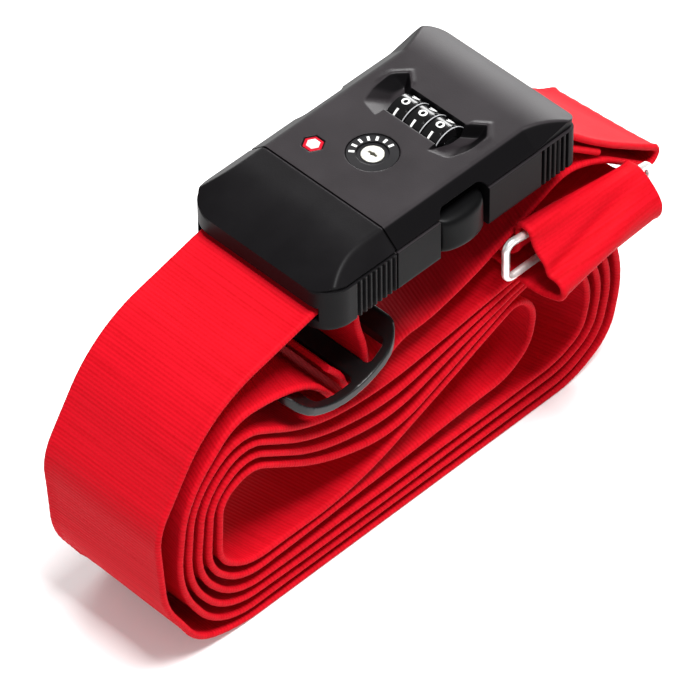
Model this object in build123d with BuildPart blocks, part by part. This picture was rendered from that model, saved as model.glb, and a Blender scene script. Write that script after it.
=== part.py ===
"""Luggage strap: lockable side-release buckle with its webbing rolled into a flat coil."""
from build123d import *
from math import atan2, degrees, hypot, radians, tan
import os

os.makedirs("parts", exist_ok=True)

# ---------------------------------------------------------------- driving dimensions (mm)
web_width = 50.0
web_thick = 1.6
buckle_top = 128.0  # height of the buckle's top face above the surface it stands over
buckle_width = 63.0
buckle_depth = 22.0
cap_length = 29.0
housing_length = 78.0
chamfer_across = 6.4
chamfer_down = 5.8
wall = 2.4
seam_gap = 0.15
running_gap = 0.05
play = 0.3

bottom = buckle_top - buckle_depth
half_width = buckle_width / 2
floor_top = bottom + 2.2
housing_split = 113.0
cap_split = 111.0
cavity_half = half_width - wall
cavity_top = buckle_top - 2.6

# profile of the top face, and the rounded corners seen from above
cap_end_top = buckle_top - 7
cap_curve_middle = (-20, buckle_top - 1.9)
cap_curve_start = -7
housing_curve_start = 61
housing_curve_middle = (71, buckle_top - 1)
housing_end_top = buckle_top - 3.6
cap_corner_radius = 8
housing_corner_radius = 6
cavity_chamfer = 4.4

groove_pitch = 2.1
groove_width = 0.9
groove_depth = 1.6
groove_height = 13.6
groove_middle = 114

screw_radius = 1.1
screw_head_radius = 2.4
screw_head_height = 1.5
screw_slot_length = 2.6
screw_slot_width = 0.5
screw_slot_depth = 1.2
boss_radius = 3.0
pilot_radius = 1.2
pilot_depth = 8

dial_x = 43.3
dial_z = 121.5
dial_radius = 7.7
dial_rim = 1.4
dial_width = 6.9
dial_pitch = 7.3
dial_count = 3
dial_notches = 10
shaft_radius = 1.5
shaft_length = 27.6
sleeve_radius = 4.0
well_length = 11.4
well_width = 22.6
scoop_radius = 14
scoop_out = 10.5
scoop_lift = 10.6

key_x = 21.2
plug_radius = 3.6
plug_bottom = 115.0
plug_length = 12.3
lock_bore_radius = 5.1
cylinder_radius = 5.0
dish_radius = 8.2
dish_depth = 2.0
cam_bottom = 113.4
cam_thick = 1.6
lock_bar_x = 29.4
lock_bar_bottom = 113.5
badge_x = 11.4
badge_y = 15.5
badge_size = 3.35
badge_recess = 1.2

button_x = 29.0
button_half = 9.6
button_inner = 25.6
button_corner = 30.6
button_crown = 32.3
window_length = 21.0
window_outside = 36
window_depth = 13.4
window_radius = 3
latch_x = 27.0
window_top = 124.6
spring_thick = 0.4
click_x = 51.2
reset_x = 58
reset_radius = 2.0

cap_bar = (-14.0, 109.4)
cap_bar_radius = 2.0
strap_slot_width = 52.6
strap_exit_height = 112.2
strap_exit_depth = 5.2
strap_exit_length = 12
bar_length = 60
bar_bore_length = 60.6
housing_bar = (70.5, 112.0)
housing_bar_radius = 1.9
housing_exit_width = 53

tongue_height = 110.8
tongue_thick = 3.6
tongue_half = 17
tongue_nose_half = 11
tongue_nose = 35.8

ring_y = -29.5
ring_top_left = 89.5
ring_top_right = 80.5
ring_bottom = 74.5
ring_half_length = 32.0
ring_x = 81.0
ring_wire = 1.3
ring_corner_radius = 2.9


# alignment of a shape that stands on its place
upright = (Align.CENTER, Align.CENTER, Align.MIN)


# ---------------------------------------------------------------- shared shapes
def corner_radius(before, corner, after):
    """Largest smooth arc that two neighbouring runs of a strap leave room for."""
    run_in = hypot(corner[0] - before[0], corner[1] - before[1])
    run_out = hypot(after[0] - corner[0], after[1] - corner[1])
    heading_in = atan2(corner[1] - before[1], corner[0] - before[0])
    heading_out = atan2(after[1] - corner[1], after[0] - corner[0])
    turn = abs((degrees(heading_out - heading_in) + 180) % 360 - 180)
    return 0.45 * min(run_in, run_out) / tan(radians(turn) / 2)


def route_radii(route):
    """One radius per inner corner; a corner with a third value states its own."""
    radii = []
    for before, corner, after in zip(route, route[1:], route[2:]):
        stated = corner[2] if len(corner) == 3 else None
        radii.append(stated or corner_radius(before, corner, after))
    return radii


def webbing(route, plane=Plane.XZ, width=web_width):
    """A flat band of webbing that follows a route drawn in the given plane."""
    points = [point[:2] for point in route]
    with BuildPart() as band:
        with BuildLine(plane) as path:
            FilletPolyline(*points, radius=route_radii(route))
        line = path.line
        with BuildSketch(Plane(origin=line @ 0, x_dir=plane.z_dir, z_dir=line % 0)):
            Rectangle(width, web_thick)
        sweep(path=line)
    return band


def buckle_envelope():
    """Outside of the closed buckle: both halves as one smooth block."""
    with BuildPart() as envelope:
        with BuildSketch(Plane.YZ.offset(-cap_length)):
            with BuildLine():
                Polyline(
                    (-half_width, bottom),
                    (half_width, bottom),
                    (half_width, buckle_top - chamfer_down),
                    (half_width - chamfer_across, buckle_top),
                    (-half_width + chamfer_across, buckle_top),
                    (-half_width, buckle_top - chamfer_down),
                    close=True,
                )
            make_face()
        extrude(amount=cap_length + housing_length)
        with BuildSketch(Plane.XZ.offset(-half_width)):
            with BuildLine():
                Line((-cap_length, bottom), (-cap_length, cap_end_top))
                ThreePointArc(
                    (-cap_length, cap_end_top),
                    cap_curve_middle,
                    (cap_curve_start, buckle_top),
                )
                Line((cap_curve_start, buckle_top), (housing_curve_start, buckle_top))
                ThreePointArc(
                    (housing_curve_start, buckle_top),
                    housing_curve_middle,
                    (housing_length, housing_end_top),
                )
                Line((housing_length, housing_end_top), (housing_length, bottom))
                Line((housing_length, bottom), (-cap_length, bottom))
            make_face()
        extrude(amount=buckle_width, mode=Mode.INTERSECT)
        left_corners = envelope.edges().filter_by(Axis.Z).group_by(Axis.X)[0]
        fillet(left_corners, radius=cap_corner_radius)
        right_corners = envelope.edges().filter_by(Axis.Z).group_by(Axis.X)[-1]
        fillet(right_corners, radius=housing_corner_radius)
    return envelope.part


def cavity(x_low, x_high, roof_points):
    """Hollow inside one half of the buckle, with a roof that follows its top."""
    with BuildPart() as hollow:
        with BuildSketch(Plane.XZ.offset(-cavity_half)):
            with BuildLine():
                Polyline((x_low, floor_top), *roof_points, (x_high, floor_top), close=True)
            make_face()
        extrude(amount=2 * cavity_half)
        roof = hollow.edges().filter_by(Axis.X).sort_by(Axis.Z)[-2:]
        chamfer(roof, length=cavity_chamfer)
    return hollow.part


def grip_grooves(x_first, count):
    """Upright grip grooves in both side walls."""
    x_middle = x_first + groove_pitch * (count - 1) / 2
    with BuildPart() as grooves:
        for side in (-1, 1):
            with Locations((x_middle, side * half_width, groove_middle)):
                with GridLocations(groove_pitch, 1, count, 1):
                    Box(groove_width, groove_depth, groove_height)
    return grooves.part


def screw(x, y, height, grip):
    """Countersunk self-tapping screw driven up from below."""
    with BuildPart() as fastener:
        with Locations((x, y, height)):
            Cone(screw_head_radius, screw_radius, screw_head_height, align=upright)
            Cylinder(screw_radius, grip, align=upright)
            Box(screw_slot_length, screw_slot_width, screw_slot_depth, mode=Mode.SUBTRACT)
            Box(screw_slot_width, screw_slot_length, screw_slot_depth, mode=Mode.SUBTRACT)
    return fastener.part


envelope = buckle_envelope()
housing_hollow = cavity(
    wall,
    housing_length - wall,
    [(wall, cavity_top), (60, cavity_top), (housing_length - wall, cavity_top - 3)],
)
cap_hollow = cavity(
    -cap_length + wall,
    -wall,
    [
        (-cap_length + wall, cap_end_top - 2.5),
        (-21, buckle_top - 5.2),
        (-12, cavity_top - 0.6),
        (-wall, cavity_top - 0.6),
    ],
)
housing_grooves = grip_grooves(62.6, 5)
cap_grooves = grip_grooves(-15.6, 7)
housing_screw_spots = [(6, -25), (6, 25), (57, -25), (57, 25)]
cap_screw_spots = [(-3.4, -22), (-3.4, 22)]

# side windows that the release buttons fill, deep enough for a pressed button
with BuildPart() as window_cutter:
    for side in (-1, 1):
        with BuildSketch(Plane.XZ.offset(-side * window_outside)):
            with Locations((button_x, (bottom + window_top) / 2 - 1)):
                RectangleRounded(window_length, window_top - bottom + 2, window_radius)
        extrude(amount=side * window_depth)

# dished finger scoops at both ends of the dial window
with BuildPart() as scoop_cutter:
    for side in (-1, 1):
        with Locations((dial_x, side * scoop_out, buckle_top + scoop_lift)):
            Sphere(scoop_radius)
    with Locations((dial_x, 0, buckle_top)):
        Box(3 * scoop_radius, well_width + 0.6, 3 * scoop_radius, mode=Mode.SUBTRACT)

# ---------------------------------------------------------------- female housing
with BuildPart() as housing_upper_shell:
    add(envelope)
    with Locations((seam_gap, 0, housing_split)):
        Box(100, 80, 40, align=(Align.MIN, Align.CENTER, Align.MIN), mode=Mode.INTERSECT)
    add(housing_hollow, mode=Mode.SUBTRACT)
    for x, y in housing_screw_spots:
        with Locations((x, y, housing_split)):
            Cylinder(boss_radius, 10.5, align=upright)
            Cylinder(pilot_radius, 5, align=upright, mode=Mode.SUBTRACT)
    add(window_cutter.part, mode=Mode.SUBTRACT)
    add(housing_grooves, mode=Mode.SUBTRACT)
    with Locations((dial_x, 0, buckle_top)):
        Box(well_length, well_width, 8, mode=Mode.SUBTRACT)
    with Locations(Plane((dial_x, 0, dial_z), z_dir=(0, 1, 0))):
        Cylinder(dial_radius + play, well_width, mode=Mode.SUBTRACT)
    add(scoop_cutter.part, mode=Mode.SUBTRACT)
    with Locations((key_x, 0, buckle_top)):
        Cylinder(lock_bore_radius, 12, mode=Mode.SUBTRACT)
        Cylinder(dish_radius, dish_depth, mode=Mode.SUBTRACT)
    with BuildSketch(Plane.XY.offset(buckle_top - badge_recess)):
        with Locations((badge_x, badge_y)):
            RegularPolygon(badge_size + 0.15, 6, rotation=30)
    extrude(amount=3, mode=Mode.SUBTRACT)
    with Locations((housing_length, 0, housing_split)):
        Box(strap_exit_length, housing_exit_width, 10, mode=Mode.SUBTRACT)
    with Locations(Plane((housing_bar[0], 0, housing_bar[1]), z_dir=(0, 1, 0))):
        Cylinder(housing_bar_radius + running_gap, bar_bore_length, mode=Mode.SUBTRACT)
    with Locations((0, 0, tongue_height)):
        Box(8, 36, tongue_thick + 1.2, mode=Mode.SUBTRACT)
housing_upper_shell.part.label = "housing_upper_shell"
export_step(housing_upper_shell.part, "parts/housing_upper_shell.step")

with BuildPart() as housing_lower_cover:
    add(envelope)
    with Locations((seam_gap, 0, housing_split - seam_gap)):
        Box(100, 80, 40, align=(Align.MIN, Align.CENTER, Align.MAX), mode=Mode.INTERSECT)
    add(housing_hollow, mode=Mode.SUBTRACT)
    for x, y in housing_screw_spots:
        with Locations((x, y, floor_top)):
            Cylinder(boss_radius, 4.6, align=upright)
        with Locations((x, y, bottom)):
            Cylinder(pilot_radius + running_gap, pilot_depth, align=upright, mode=Mode.SUBTRACT)
            Cone(screw_head_radius + 0.2, pilot_radius, 1.6, align=upright, mode=Mode.SUBTRACT)
    add(window_cutter.part, mode=Mode.SUBTRACT)
    add(housing_grooves, mode=Mode.SUBTRACT)
    with Locations((72.5, 0, bottom)):
        Box(13, housing_exit_width, 30, mode=Mode.SUBTRACT)
    with Locations(Plane((housing_bar[0], 0, housing_bar[1]), z_dir=(0, 1, 0))):
        Cylinder(housing_bar_radius + running_gap, bar_bore_length, mode=Mode.SUBTRACT)
    with Locations((0, 0, tongue_height)):
        Box(8, 36, tongue_thick + 1.2, mode=Mode.SUBTRACT)
    with Locations((reset_x, 0, bottom)):
        Cylinder(reset_radius + 0.1, 8, mode=Mode.SUBTRACT)
housing_lower_cover.part.label = "housing_lower_cover"
export_step(housing_lower_cover.part, "parts/housing_lower_cover.step")

with BuildPart() as housing_screws:
    for x, y in housing_screw_spots:
        add(screw(x, y, bottom + 0.05, 11.5))
housing_screws.part.label = "housing_screws"
export_step(housing_screws.part, "parts/housing_screws.step")

with BuildPart() as housing_strap_bar:
    with Locations(Plane((housing_bar[0], 0, housing_bar[1]), z_dir=(0, 1, 0))):
        Cylinder(housing_bar_radius, bar_length)
housing_strap_bar.part.label = "housing_strap_bar"
export_step(housing_strap_bar.part, "parts/housing_strap_bar.step")

# inner frame that carries the dial shaft and backs the button springs
frame_bottom = floor_top + 0.1
frame_cheek_y = 12.7
frame_wall_y = 18.6
with BuildPart() as lock_frame:
    for side in (-1, 1):
        with Locations((dial_x, side * frame_cheek_y, frame_bottom)):
            Box(13, 1.6, 15.2, align=upright)
        with Locations((button_x, side * frame_wall_y, frame_bottom)):
            Box(16, 1.2, 9, align=upright)
        with Locations((40.5, side * 15.6, frame_bottom)):
            Box(8.2, 7.2, 1.6, align=upright)
        with Locations((36.6, side * frame_wall_y, frame_bottom)):
            Box(1.2, 1.2, 9, align=upright)
    for side in (-1, 1):
        with Locations((latch_x, side * frame_wall_y, tongue_height)):
            Box(6, 4, 5, mode=Mode.SUBTRACT)
    with Locations((click_x, 0, frame_bottom)):
        Box(2.8, 27, 3, align=upright)
        Box(2.8, 10, 4.6, align=upright)
    with Locations(Plane((dial_x, 0, dial_z), z_dir=(0, 1, 0))):
        Cylinder(shaft_radius + running_gap, 40, mode=Mode.SUBTRACT)
lock_frame.part.label = "lock_frame"
export_step(lock_frame.part, "parts/lock_frame.step")

with BuildPart() as dial_shaft:
    with Locations(Plane((dial_x, 0, dial_z), z_dir=(0, 1, 0))):
        Cylinder(shaft_radius, shaft_length)
dial_shaft.part.label = "dial_shaft"
export_step(dial_shaft.part, "parts/dial_shaft.step")

# leaf spring whose three fingers click into the dials from below
click_height = floor_top + 4.7
with BuildPart() as dial_click_spring:
    with Locations((click_x, 0, click_height)):
        Box(2.6, 22, spring_thick, align=upright)
    for index in range(dial_count):
        dial_y = (index - 1) * dial_pitch
        with Locations((click_x - 4.6, dial_y, click_height)):
            Box(8, 3.4, spring_thick, align=upright)
dial_click_spring.part.label = "dial_click_spring"
export_step(dial_click_spring.part, "parts/dial_click_spring.step")

with BuildPart() as lock_cylinder:
    with Locations((key_x, 0, plug_bottom + 0.2)):
        Cylinder(cylinder_radius, 11.9, align=upright)
        Cylinder(plug_radius + running_gap, 30, mode=Mode.SUBTRACT)
lock_cylinder.part.label = "lock_cylinder"
export_step(lock_cylinder.part, "parts/lock_cylinder.step")

with BuildPart() as key_dish_ring:
    with Locations((key_x, 0, buckle_top - 0.95)):
        Cylinder(dish_radius - 0.1, 0.6, align=upright)
        Cylinder(lock_bore_radius, 4, mode=Mode.SUBTRACT)
key_dish_ring.part.label = "key_dish_ring"
export_step(key_dish_ring.part, "parts/key_dish_ring.step")

with BuildPart() as indicator_badge:
    with BuildSketch(Plane.XY.offset(buckle_top - 1.15)):
        with Locations((badge_x, badge_y)):
            RegularPolygon(badge_size, 6, rotation=30)
    extrude(amount=0.85)
indicator_badge.part.label = "indicator_badge"
export_step(indicator_badge.part, "parts/indicator_badge.step")

# ---------------------------------------------------------------- key plug and locking bar
with BuildPart() as key_plug:
    with Locations((key_x, 0, plug_bottom)):
        Cylinder(plug_radius, plug_length, align=upright)
    with Locations((key_x, 0, buckle_top)):
        Box(0.9, 3.4, 12, mode=Mode.SUBTRACT)
        Cylinder(0.8, 12, mode=Mode.SUBTRACT)
key_plug.part.label = "key_plug"
export_step(key_plug.part, "parts/key_plug.step")

with BuildPart() as key_cam:
    with Locations((key_x, 0, cam_bottom)):
        Cylinder(3.2, cam_thick, align=upright)
    with Locations((key_x - 2.2, 0, cam_bottom)):
        Box(3.6, 2.6, cam_thick, align=upright)
key_cam.part.label = "key_cam"
export_step(key_cam.part, "parts/key_cam.step")

with BuildPart() as lock_bar:
    with Locations((lock_bar_x, 0, lock_bar_bottom)):
        Box(7.6, 20, 1.4, align=upright)
        Box(3, 8, 6, mode=Mode.SUBTRACT)
lock_bar.part.label = "lock_bar"
export_step(lock_bar.part, "parts/lock_bar.step")

# ---------------------------------------------------------------- three number dials
for index in range(dial_count):
    dial_y = (index - 1) * dial_pitch
    hub = Plane((dial_x, dial_y, dial_z), z_dir=(0, 1, 0))
    with BuildPart() as dial_wheel:
        with Locations(hub):
            Cylinder(dial_radius - 0.35, dial_width)
        with Locations(hub.offset((dial_rim - dial_width) / 2)):
            Cylinder(dial_radius, dial_rim)
        with Locations(hub):
            Cylinder(sleeve_radius + 0.02, 10, mode=Mode.SUBTRACT)
        with Locations(hub.offset((dial_rim - dial_width) / 2)):
            with PolarLocations(dial_radius + 0.25, dial_notches, start_angle=18):
                Cylinder(0.75, dial_rim + 0.1, mode=Mode.SUBTRACT)
    dial_wheel.part.label = f"dial_wheel_{index + 1}"
    export_step(dial_wheel.part, f"parts/dial_wheel_{index + 1}.step")

    with BuildPart() as dial_sleeve:
        with Locations(hub):
            Cylinder(sleeve_radius, dial_width)
            Cylinder(shaft_radius + running_gap, 10, mode=Mode.SUBTRACT)
        with Locations(Plane((dial_x, dial_y, dial_z - sleeve_radius))):
            Box(1.4, 10, 1.2, mode=Mode.SUBTRACT)
    dial_sleeve.part.label = f"dial_sleeve_{index + 1}"
    export_step(dial_sleeve.part, f"parts/dial_sleeve_{index + 1}.step")

# ---------------------------------------------------------------- side release buttons
for side, word in ((-1, "near"), (1, "far")):
    with BuildPart() as release_button:
        with BuildSketch(Plane.XY.offset(bottom + 0.8)):
            with BuildLine():
                outer_face = ThreePointArc(
                    (button_x - button_half, side * button_corner),
                    (button_x, side * button_crown),
                    (button_x + button_half, side * button_corner),
                )
                Polyline(
                    outer_face @ 1,
                    (button_x + button_half, side * button_inner),
                    (button_x - button_half, side * button_inner),
                    outer_face @ 0,
                )
            make_face()
        extrude(amount=15.6)
        rim = release_button.faces().filter_by(GeomType.CYLINDER).edges()
        fillet(rim, radius=1.2)
        with Locations((button_x, side * 27.9, 114.2)):
            Box(24, 2.0, 11)
        with Locations((latch_x, side * 23.4, tongue_height)):
            Box(4, 4.4, 3.2)
    release_button.part.label = f"release_button_{word}"
    export_step(release_button.part, f"parts/release_button_{word}.step")

    # bowed leaf that pushes the button outwards
    with BuildPart() as button_spring:
        with BuildSketch(Plane.XY.offset(115.0)):
            with BuildLine():
                leaf = ThreePointArc(
                    (button_x - 7, side * 19.6),
                    (button_x, side * 25.2),
                    (button_x + 7, side * 19.6),
                )
                offset(leaf, amount=spring_thick / 2)
            make_face()
        extrude(amount=3.6)
    button_spring.part.label = f"button_spring_{word}"
    export_step(button_spring.part, f"parts/button_spring_{word}.step")

# ---------------------------------------------------------------- combination reset button
with BuildPart() as reset_button:
    with Locations((reset_x, 0, bottom + 0.2)):
        Cylinder(reset_radius, 3.4, align=upright)
    with Locations((reset_x, 0, floor_top + 0.1)):
        Cylinder(reset_radius + 0.9, 1.0, align=upright)
    with Locations((reset_x, 0, bottom + 0.2)):
        Box(3, 0.6, 0.8, mode=Mode.SUBTRACT)
reset_button.part.label = "reset_button"
export_step(reset_button.part, "parts/reset_button.step")

with BuildPart() as reset_spring:
    with BuildSketch(Plane.XZ.offset(-1.5)):
        with BuildLine():
            reset_leaf = ThreePointArc(
                (reset_x - 4.4, 114.8),
                (reset_x, 110.2),
                (reset_x + 4.4, 114.8),
            )
            offset(reset_leaf, amount=spring_thick / 2)
        make_face()
    extrude(amount=3)
reset_spring.part.label = "reset_spring"
export_step(reset_spring.part, "parts/reset_spring.step")

# ---------------------------------------------------------------- male half
with BuildPart() as cap_upper:
    add(envelope)
    with Locations((-seam_gap, 0, cap_split)):
        Box(100, 80, 40, align=(Align.MAX, Align.CENTER, Align.MIN), mode=Mode.INTERSECT)
    add(cap_hollow, mode=Mode.SUBTRACT)
    for x, y in cap_screw_spots:
        with Locations((x, y, 116.2)):
            Cylinder(2.6, 9, align=upright)
        with Locations((x, y, 115)):
            Cylinder(pilot_radius, 6, align=upright, mode=Mode.SUBTRACT)
    add(cap_grooves, mode=Mode.SUBTRACT)
    with Locations((-cap_length, 0, strap_exit_height)):
        Box(strap_exit_length, strap_slot_width, strap_exit_depth, mode=Mode.SUBTRACT)
    with Locations(Plane((cap_bar[0], 0, cap_bar[1]), z_dir=(0, 1, 0))):
        Cylinder(cap_bar_radius + running_gap, bar_bore_length, mode=Mode.SUBTRACT)
    with Locations((0, 0, tongue_height)):
        Box(8, 55, 10.2, mode=Mode.SUBTRACT)
cap_upper.part.label = "cap_upper"
export_step(cap_upper.part, "parts/cap_upper.step")

with BuildPart() as cap_lower:
    add(envelope)
    with Locations((-seam_gap, 0, cap_split - seam_gap)):
        Box(100, 80, 40, align=(Align.MAX, Align.CENTER, Align.MAX), mode=Mode.INTERSECT)
    add(cap_hollow, mode=Mode.SUBTRACT)
    for x, y in cap_screw_spots:
        with Locations((x, y, bottom)):
            Cylinder(pilot_radius + running_gap, pilot_depth, align=upright, mode=Mode.SUBTRACT)
            Cone(screw_head_radius + 0.2, pilot_radius, 1.6, align=upright, mode=Mode.SUBTRACT)
    add(cap_grooves, mode=Mode.SUBTRACT)
    with Locations((-10.4, 0, bottom)):
        Box(8.4, strap_slot_width, 10, mode=Mode.SUBTRACT)
    with Locations((-cap_length, 0, strap_exit_height)):
        Box(strap_exit_length, strap_slot_width, strap_exit_depth, mode=Mode.SUBTRACT)
    with Locations(Plane((cap_bar[0], 0, cap_bar[1]), z_dir=(0, 1, 0))):
        Cylinder(cap_bar_radius + running_gap, bar_bore_length, mode=Mode.SUBTRACT)
    with Locations((-3, 0, tongue_height)):
        Box(8, 55, 4.6, mode=Mode.SUBTRACT)
cap_lower.part.label = "cap_lower"
export_step(cap_lower.part, "parts/cap_lower.step")

with BuildPart() as cap_screws:
    for x, y in cap_screw_spots:
        add(screw(x, y, bottom + 0.05, 13.5))
cap_screws.part.label = "cap_screws"
export_step(cap_screws.part, "parts/cap_screws.step")

with BuildPart() as cap_strap_bar:
    with Locations(Plane((cap_bar[0], 0, cap_bar[1]), z_dir=(0, 1, 0))):
        Cylinder(cap_bar_radius, bar_length)
cap_strap_bar.part.label = "cap_strap_bar"
export_step(cap_strap_bar.part, "parts/cap_strap_bar.step")

with BuildPart() as latch_tongue:
    with BuildSketch(Plane.XY.offset(tongue_height - tongue_thick / 2)):
        with BuildLine():
            Polyline(
                (-5.6, -tongue_half),
                (31.5, -tongue_half),
                (tongue_nose, -tongue_nose_half),
                (tongue_nose, tongue_nose_half),
                (31.5, tongue_half),
                (-5.6, tongue_half),
                close=True,
            )
        make_face()
    extrude(amount=tongue_thick)
    with Locations((-3.3, 0, tongue_height)):
        Box(4.6, 54, tongue_thick)
    for x, y in cap_screw_spots:
        with Locations((x, y, tongue_height)):
            Cylinder(pilot_radius + running_gap, 10, mode=Mode.SUBTRACT)
    for side in (-1, 1):
        with Locations((latch_x, side * tongue_half, tongue_height)):
            Box(6, 5, 10, mode=Mode.SUBTRACT)
latch_tongue.part.label = "latch_tongue"
export_step(latch_tongue.part, "parts/latch_tongue.step")

# ---------------------------------------------------------------- main webbing
# A turn of the coil is a blend between its outermost and innermost shape.
left_outer = [(-62, 90.5), (-83, 70), (-87, 34), (-70, 5.2)]
left_inner = [(-55, 65.5), (-68, 60), (-69.5, 34), (-57, 24.5)]
right_outer = [(82, 67.2), (101, 58), (107.5, 34), (102, 10), (86, 0.8)]
right_inner = [(74, 59.5), (87, 51), (93.5, 36), (90, 20), (78, 14.4)]
crossing_outer = [(-30, 64.5), (0, 59.6), (60, 65.6)]
crossing_inner = [(-24, 44.5), (5, 36.5), (60, 58.3)]


def between(outer, inner, share):
    """Points a given share of the way from the outer list to the inner one."""
    return [
        (a[0] + share * (b[0] - a[0]), a[1] + share * (b[1] - a[1]))
        for a, b in zip(outer, inner)
    ]


def left_turn(lap):
    """Corners of left turn 2 to 6, listed from its top to its bottom."""
    return between(left_outer, left_inner, (lap - 2) / 4)


def right_turn(lap):
    """Corners of right turn 1 to 4, listed from its top to its bottom."""
    return between(right_outer, right_inner, (lap - 1) / 3)


def crossing(lap):
    """Corners of the top run into right turn 1 to 4, listed from left to right."""
    return between(crossing_outer, crossing_inner, (lap - 1) / 3)


tab_fold = [
    (95.5, 93.6),
    (76, 108.6),
    (67.6, 109.2, 2.6),
    (67.6, 115.0, 2.6),
    (77, 114.6),
    (95.5, 96.7),
    (120.5, 78.8),
    (125, 73.5),
    (120, 69.8),
    (96, 90.4),
    (80, 96.8),
    (60, 87.4),
    (39, 79.2),
    (20, 74.6),
    (8, 74.7),
    (-5, 65.3),
    (-17, 65.4),
    (-29, 82.4),
    (-44, 88.6),
]
inner_fold = [(-12, 25), (61, 54.3), (68.5, 45), (66, 31), (55, 23.8), (8, 22.5)]
outer_bottom = [(-62, 0.8), (-79, 7), (-92.5, 31)]
web_joint = (-93.5, 47.5)

coil_route = tab_fold
coil_route = coil_route + left_turn(2) + right_turn(2)[::-1] + crossing(2)[::-1]
coil_route = coil_route + left_turn(4) + right_turn(4)[::-1] + crossing(4)[::-1]
coil_route = coil_route + left_turn(6) + inner_fold
coil_route = coil_route + left_turn(5)[::-1] + crossing(3) + right_turn(3)
coil_route = coil_route + left_turn(3)[::-1] + crossing(1) + right_turn(1)
coil_route = coil_route + outer_bottom + [web_joint]

strap_webbing_coil = webbing(coil_route)
strap_webbing_coil.part.label = "strap_webbing_coil"
export_step(strap_webbing_coil.part, "parts/strap_webbing_coil.step")

lead_route = [
    (-93.503, 47.55),
    (-94.5, 64),
    (-72, 100),
    (-26, 112.3),
    (-10.9, 112.5, 3.1),
    (-10.9, 96),
    (-6.9, 82),
    (-6.9, 70.7, 1.4),
    (-15.1, 70.7, 1.4),
    (-17, 77),
    (-23, 84.5),
]
strap_webbing_lead = webbing(lead_route)
strap_webbing_lead.part.label = "strap_webbing_lead"
export_step(strap_webbing_lead.part, "parts/strap_webbing_lead.step")

coil_length = strap_webbing_coil.part.volume / (web_width * web_thick)
lead_length = strap_webbing_lead.part.volume / (web_width * web_thick)
print("coil webbing length", round(coil_length), "lead", round(lead_length))
print("tightest bend", round(min(route_radii(coil_route)), 1))

# ---------------------------------------------------------------- strap adjuster
adjuster_width = 60
adjuster_slot = 53.4
adjuster_half_thick = 1.5
with BuildPart() as strap_adjuster:
    with BuildSketch(Plane.XZ.offset(-adjuster_width / 2)):
        with BuildLine():
            bow = ThreePointArc((-41, 84.2), (-17, 73.4), (4, 85.5))
            offset(bow, amount=adjuster_half_thick)
        make_face()
    extrude(amount=adjuster_width)
    with BuildSketch(Plane.XY):
        with Locations((-18.5, 0)):
            RectangleRounded(47, adjuster_width, 8)
    extrude(amount=buckle_top, mode=Mode.INTERSECT)
    with BuildSketch(Plane.XY):
        with Locations((-22.5, 0)):
            RectangleRounded(17, adjuster_slot, 2)
        with Locations((-4.2, 0)):
            RectangleRounded(7.6, adjuster_slot, 2)
    extrude(amount=buckle_top, mode=Mode.SUBTRACT)
strap_adjuster.part.label = "strap_adjuster"
export_step(strap_adjuster.part, "parts/strap_adjuster.step")

# ---------------------------------------------------------------- keeper loop and metal ring
keeper_centre_x = 81.5
keeper_top = 76.4
keeper_bottom = 70.4
keeper_route = [
    (0, keeper_bottom),
    (27.6, keeper_bottom, 2.7),
    (27.6, keeper_top, 2.7),
    (-23, keeper_top),
    (-26.6, 81),
    (-26.9, 94.7, 2.5),
    (-32.4, 94.7, 2.5),
    (-42, 77),
    (-39.6, 69.6),
    (-31, 68.2),
    (-24, keeper_bottom),
    (-0.02, keeper_bottom),
]
keeper_loop = webbing(keeper_route, plane=Plane.YZ.offset(keeper_centre_x))
keeper_loop.part.label = "keeper_loop"
export_step(keeper_loop.part, "parts/keeper_loop.step")

with BuildPart() as metal_ring:
    with BuildLine(Plane.XZ.offset(-ring_y)) as ring_path:
        FilletPolyline(
            (ring_x + ring_half_length, ring_bottom),
            (ring_x + ring_half_length, ring_top_right),
            (ring_x - ring_half_length, ring_top_left),
            (ring_x - ring_half_length, ring_bottom),
            close=True,
            radius=ring_corner_radius,
        )
    ring_line = ring_path.line
    with BuildSketch(Plane(origin=ring_line @ 0, z_dir=ring_line % 0)):
        Circle(ring_wire)
    sweep(path=ring_line)
metal_ring.part.label = "metal_ring"
export_step(metal_ring.part, "parts/metal_ring.step")
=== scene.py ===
"""Luggage strap: woven webbing rolled into a coil under a lockable side-release buckle."""
import bmesh
import bpy
import math
import numpy as np
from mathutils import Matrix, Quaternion, Vector


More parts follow.
